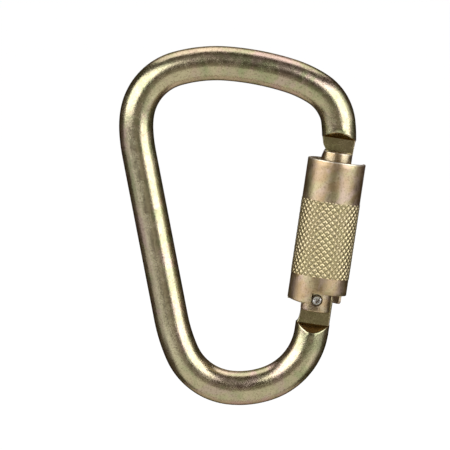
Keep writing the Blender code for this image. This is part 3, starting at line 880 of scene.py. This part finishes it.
def plated_zinc(name, base, second, rose_share, roughness, pits, marks=()):
    """Yellow zinc plate over steel: cloudy gold, green and rose film, fine speckle and a soft gloss.

    Each mark is a function or a pair of heights, the colour that it turns to and how far. Some marks are
    painted highlights and painted shade."""
    nodes = Nodes(name)
    cloud = nodes.noise(95, 4, 0.6, 0.8)
    film = nodes.noise(210, 5, 0.65, 1.0)
    colour = nodes.mix(nodes.span(cloud, 0.38, 0.62), base, second)
    rose = nodes.maths("MULTIPLY", nodes.span(film, 0.46, 0.66), rose_share)
    colour = nodes.mix(rose, colour, ROSE)
    drift = nodes.noise(65, 3, 0.6, 1.2)
    colour = nodes.mix(nodes.span(drift, 0.5, 0.64, 0, 0.8), colour, PINK)
    for where, tint, share in marks:
        mask = where(nodes) if callable(where) else band(nodes, *where)
        colour = nodes.mix(nodes.maths("MULTIPLY", mask, share), colour, tint)
    speck = nodes.noise(1700, 3, 0.6)
    colour = nodes.mix(nodes.span(speck, 0.5, 0.72, 0, 0.55), colour, BROWN)
    nodes.feed(nodes.shader.inputs["Base Color"], colour)
    nodes.feed(nodes.shader.inputs["Metallic"], 1.0)
    nodes.feed(nodes.shader.inputs["Specular Tint"], EDGE)
    gloss = nodes.noise(420, 4, 0.65)
    rough = nodes.span(gloss, 0.3, 0.7, roughness - 0.05, roughness + 0.07)
    nodes.feed(nodes.shader.inputs["Roughness"], rough)
    grain = nodes.noise(1900, 4, 0.65)
    peel = nodes.noise(520, 2, 0.5)
    normal = nodes.bump(peel, 0.3 * pits, 0.0001)
    normal = nodes.bump(grain, pits, 0.00006, normal)
    nodes.feed(nodes.shader.inputs["Normal"], normal)
    return nodes.material


def bright_steel(name, colour, roughness):
    """Bare turned steel: smears and small dents."""
    nodes = Nodes(name)
    smear = nodes.noise(700, 4, 0.6)
    shade = nodes.mix(nodes.span(smear, 0.35, 0.7), colour, tuple(0.72 * c for c in colour))
    nodes.feed(nodes.shader.inputs["Base Color"], shade)
    nodes.feed(nodes.shader.inputs["Metallic"], 1.0)
    nodes.feed(nodes.shader.inputs["Roughness"], nodes.span(smear, 0.3, 0.7, roughness, roughness + 0.16))
    dents = nodes.noise(2400, 2, 0.5)
    nodes.feed(nodes.shader.inputs["Normal"], nodes.bump(dents, 0.35, 0.00008))
    return nodes.material


# Light, floor and camera


def softbox(name, azimuth, elevation, half_width, half_height, radiance, colour=(1, 1, 1)):
    """An area light that fills these half angles, in degrees, as seen from the object.

    Azimuth 0 is the camera's side and 90 the right. The radiance is what a mirror would show."""
    distance = 1.2
    width = 2 * distance * math.tan(math.radians(half_width))
    height = 2 * distance * math.tan(math.radians(half_height))
    light = bpy.data.lights.new(name, "AREA")
    light.shape = "RECTANGLE"
    light.size = width
    light.size_y = height
    light.energy = radiance * math.pi * width * height
    light.color = colour
    lamp = object_from(name, light)
    turn, rise = math.radians(azimuth), math.radians(elevation)
    away = Vector((math.sin(turn) * math.cos(rise), -math.cos(turn) * math.cos(rise), math.sin(rise)))
    lamp.location = (cad_box[0] + cad_box[1]) / 2 + away * distance
    lamp.rotation_euler = away.to_track_quat("Z", "Y").to_euler()
    lamp.visible_camera = False


def make_world():
    """Pale to the eye and dim to everything else, so that the metal keeps its dark edges."""
    world = bpy.data.worlds.new("studio")
    bpy.context.scene.world = world
    world.use_nodes = True
    tree = world.node_tree
    seen = tree.nodes["Background"]
    seen.inputs["Color"].default_value = (1, 1, 1, 1)
    seen.inputs["Strength"].default_value = 1.0
    dim = tree.nodes.new("ShaderNodeBackground")
    dim.inputs["Color"].default_value = (1, 0.78, 0.55, 1)
    dim.inputs["Strength"].default_value = 0.08
    path = tree.nodes.new("ShaderNodeLightPath")
    chosen = tree.nodes.new("ShaderNodeMixShader")
    tree.links.new(path.outputs["Is Camera Ray"], chosen.inputs["Fac"])
    tree.links.new(dim.outputs["Background"], chosen.inputs[1])
    tree.links.new(seen.outputs["Background"], chosen.inputs[2])
    tree.links.new(chosen.outputs["Shader"], tree.nodes["World Output"].inputs["Surface"])


def make_floor():
    """A wide pale floor below the hanging carabiner, seen by the camera only."""
    half_width, drop = 6, 60 * MM
    shape = bmesh.new()
    size = Matrix.Diagonal((half_width, half_width, 1, 1))
    place = Matrix.Translation((0, 0, cad_box[0].z - drop)) @ size
    bmesh.ops.create_grid(shape, x_segments=1, y_segments=1, size=1, matrix=place)
    floor = object_from("floor", mesh_of("floor", shape))
    material = bpy.data.materials.new("pale_floor")
    material.use_nodes = True
    shader = material.node_tree.nodes["Principled BSDF"]
    shader.inputs["Base Color"].default_value = (0.05, 0.05, 0.05, 1)
    shader.inputs["Roughness"].default_value = 0.9
    shader.inputs["Specular IOR Level"].default_value = 0.0
    shader.inputs["Emission Color"].default_value = (1, 1, 1, 1)
    shader.inputs["Emission Strength"].default_value = 1.0
    dress(floor.data, material)
    floor.visible_glossy = False
    floor.visible_diffuse = False
    floor.visible_shadow = False


def make_camera():
    """A long lens a little above the object's middle, framed as wide as the object needs."""
    camera = object_from("camera", bpy.data.cameras.new("camera"))
    distance, frame_width, sensor = 1.6, 157.5 * MM, 36
    elevation = math.radians(4.9)
    target = Vector((3.2 * MM, 0, -50.68 * MM))
    away = Vector((0, -math.cos(elevation), math.sin(elevation)))
    camera.location = target + away * distance
    camera.rotation_euler = away.to_track_quat("Z", "Y").to_euler()
    camera.data.sensor_width = sensor
    camera.data.lens = sensor * distance / frame_width
    camera.data.clip_end = 20
    bpy.context.scene.camera = camera


bpy.context.scene.view_settings.view_transform = "Standard"

# Painted highlights: pale bands on the top edges of the gate's tip and the sleeve's rim
TIP_HIGHLIGHT = ((GATE_HIGH.z - 0.75 * MM, GATE_HIGH.z + MM), PALE, 0.85)
RIM_HIGHLIGHT = ((SLEEVE_HIGH.z - 0.4 * MM, SLEEVE_HIGH.z + MM), PALE, 0.7)
# Body marks: a painted highlight along the spine, the milled flats' colour and painted shade on the
# run-outs
BODY_MARKS = [(spine_highlight_band, SPINE_HIGHLIGHT, 0.75), (flats, MOSS, 0.75), (runouts, UMBER, 0.9)]
BODY_ZINC = plated_zinc("body_yellow_zinc", GOLD, OLIVE, 0.5, 0.23, 0.6, BODY_MARKS)
GATE_ZINC = plated_zinc("gate_yellow_zinc", GOLD, TAN, 0.5, 0.28, 0.4, [TIP_HIGHLIGHT])
# Sleeve marks: the knurl's colour, painted shade in its grooves and a painted highlight on the rim
SLEEVE_MARKS = [((KNURL_FOOT, KNURL_TOP), CREAM, 0.8), (grooves, GROOVE_SHADE, 0.55), RIM_HIGHLIGHT]
SLEEVE_ZINC = plated_zinc("sleeve_yellow_zinc", TAN, STRAW, 0.45, 0.37, 0.35, SLEEVE_MARKS)
STEEL = bright_steel("bare_steel", (0.62, 0.60, 0.59), 0.22)
SPRING_STEEL = bright_steel("spring_steel", (0.42, 0.42, 0.43), 0.3)

make_body(BODY_ZINC)
make_gate(GATE_ZINC)
make_rivet(STEEL)
make_sleeve(SLEEVE_ZINC)
for node in ("latch_pin", "sleeve_stop_pin", "gate_plunger"):
    dress(frame["nodes"][node].data, STEEL)
for node in ("gate_spring", "sleeve_spring", "upper_retaining_ring", "lower_retaining_ring"):
    dress(frame["nodes"][node].data, SPRING_STEEL)
dress(frame["nodes"]["upper_guide_ring"].data, GATE_ZINC)

make_world()
make_floor()
make_camera()
softbox("left_box", -54, 25, 31, 21, 2.72)
softbox("right_box", 53, 18, 26, 25, 2.7)
softbox("right_side_box", 92, 22, 12, 20, 0.8)
softbox("top_box", 0, 46, 30, 18, 0.11, (0.97, 1.0, 0.95))
softbox("low_box", 0, -55, 52, 38, 0.62, (0.97, 1, 0.88))
softbox("back_box", 180, 68, 30, 21, 1.7, (1.0, 0.93, 0.96))
softbox("low_back_box", 180, -62, 30, 22, 0.6, (1, 0.88, 0.82))
softbox("rear_box", 180, 8, 17, 28, 0.8)
softbox("left_low_box", -74, -10, 20, 15, 0.45)
softbox("right_low_box", 72, -24, 18, 15, 0.5)
softbox("front_box", 0, -8, 18, 14, 0.14, (1, 0.95, 0.75))
